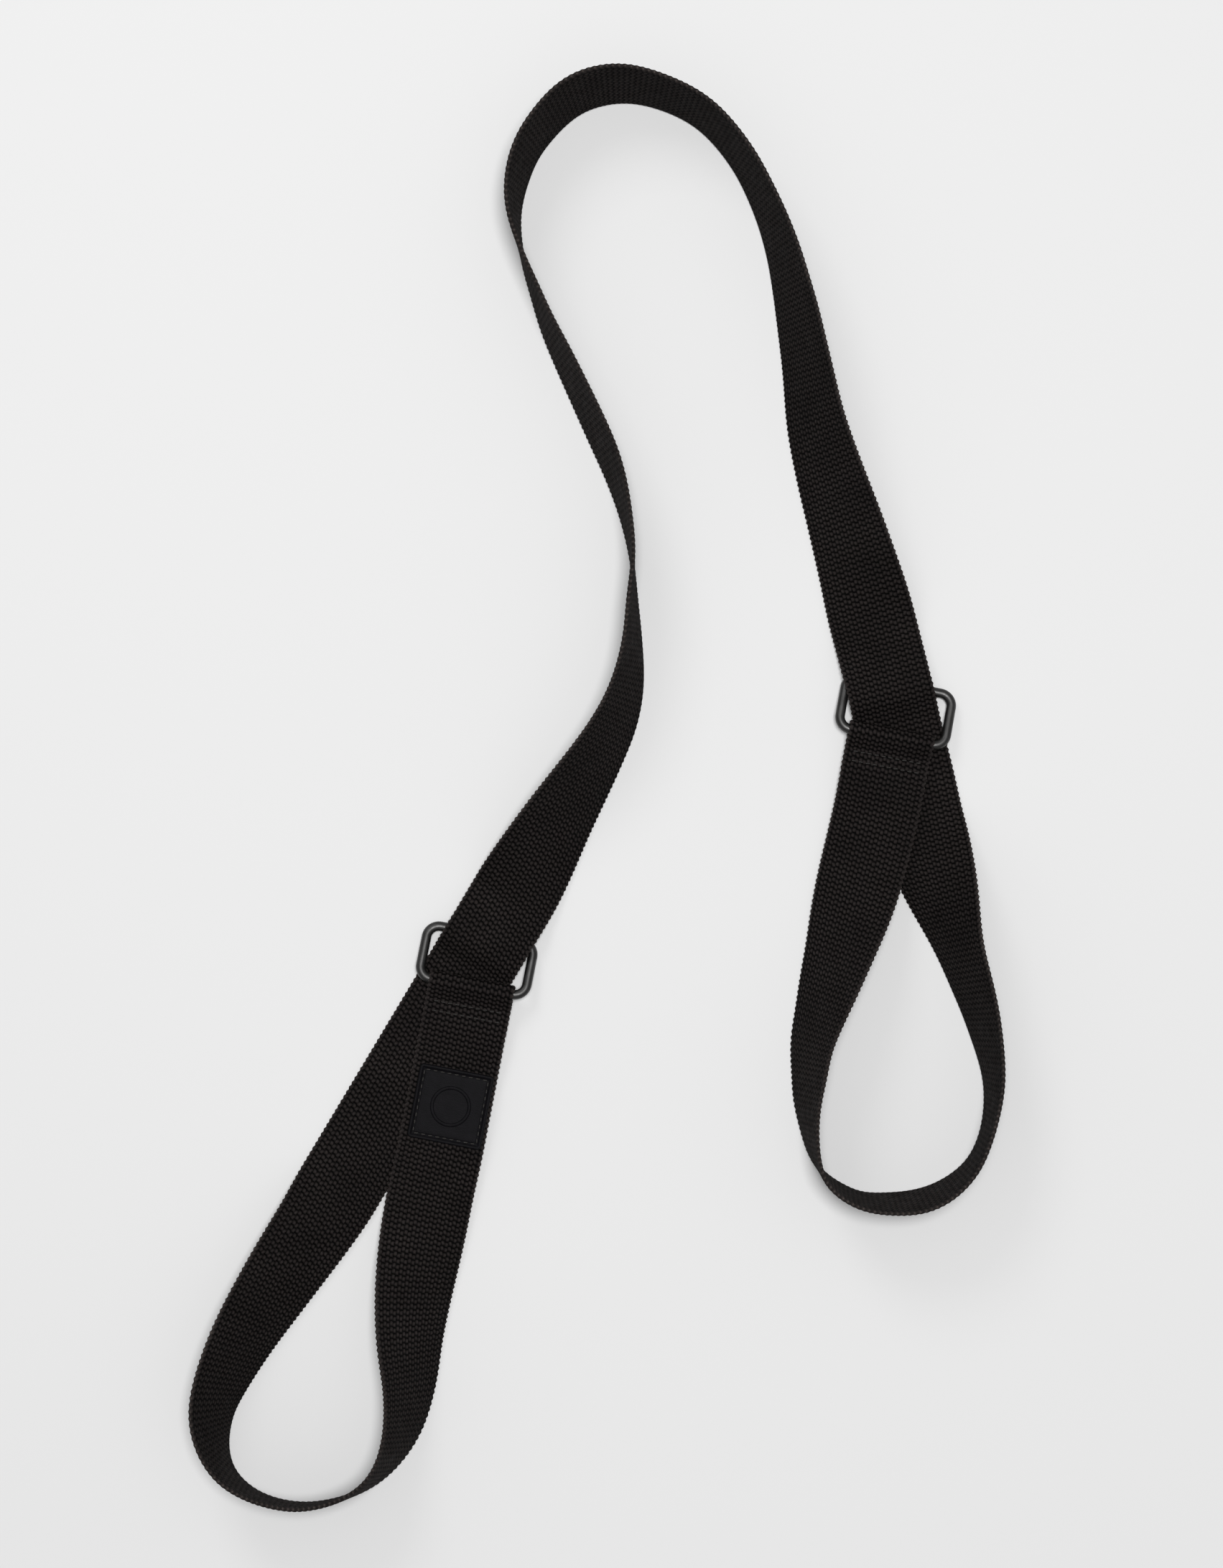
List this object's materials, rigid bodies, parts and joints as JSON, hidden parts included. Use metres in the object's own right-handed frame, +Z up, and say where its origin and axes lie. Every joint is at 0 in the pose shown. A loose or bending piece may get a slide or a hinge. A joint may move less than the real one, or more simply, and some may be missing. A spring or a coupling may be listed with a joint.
{
  "type": "stretching strap",
  "caption": "Flat webbing stretching strap lying with a hand or foot loop at each end; each end is sewn to a wire ring that the strap runs back through.",
  "frame": {"origin": "centre of the bounding box in plan, on the floor that the strap lies on", "axes": "+Z up from the floor, +Y from the loops towards the free bend of the strap, +X to the loop without the patch"},
  "size_m": [0.3528, 0.6291, 0.038],
  "materials": {
    "webbing": "matt woven polyester",
    "thread": "matt twisted thread",
    "ring_steel": "satin gunmetal plate",
    "patch_rubber": "matt moulded rubber"
  },
  "bodies": {
    "strap": {"main_run_left": "webbing", "main_run_bend": "webbing", "main_run_right": "webbing", "left_loop_bend": "webbing", "left_back_leg": "webbing", "left_threaded_web": "webbing", "right_loop_bend": "webbing", "right_back_leg": "webbing", "right_threaded_web": "webbing"},
    "left_end": {"left_front_leg": "webbing", "left_tab_fold": "webbing", "left_stitch_row_near": "thread", "left_stitch_row_far": "thread", "patch": "patch_rubber", "patch_stitching": "thread"},
    "left_wire": {"left_ring": "ring_steel"},
    "right_end": {"right_front_leg": "webbing", "right_tab_fold": "webbing", "right_stitch_row_near": "thread", "right_stitch_row_far": "thread"},
    "right_wire": {"right_ring": "ring_steel"}
  },
  "joints": [
    {"name": "left_loop_slide", "type": "slide", "parent": "strap", "child": "left_end", "axis": [0.5145, 0.8575, 0], "range_m": [-0.02, 0.02], "deforming": ["left_threaded_web", "left_loop_bend"]},
    {"name": "left_ring_tilt", "type": "hinge", "parent": "left_end", "child": "left_wire", "pos_m": [-0.0545, -0.085, 0.0076], "axis": [0.9816, -0.1909, 0], "range_deg": [0, 30]},
    {"name": "right_loop_slide", "type": "slide", "parent": "strap", "child": "right_end", "axis": [-0.2425, 0.9701, 0], "range_m": [-0.004, 0.02], "deforming": ["right_threaded_web", "right_loop_bend"]},
    {"name": "right_ring_tilt", "type": "hinge", "parent": "right_end", "child": "right_wire", "pos_m": [0.1295, 0.0245, 0.0076], "axis": [0.9816, -0.1909, 0], "range_deg": [0, 30]}
  ]
}
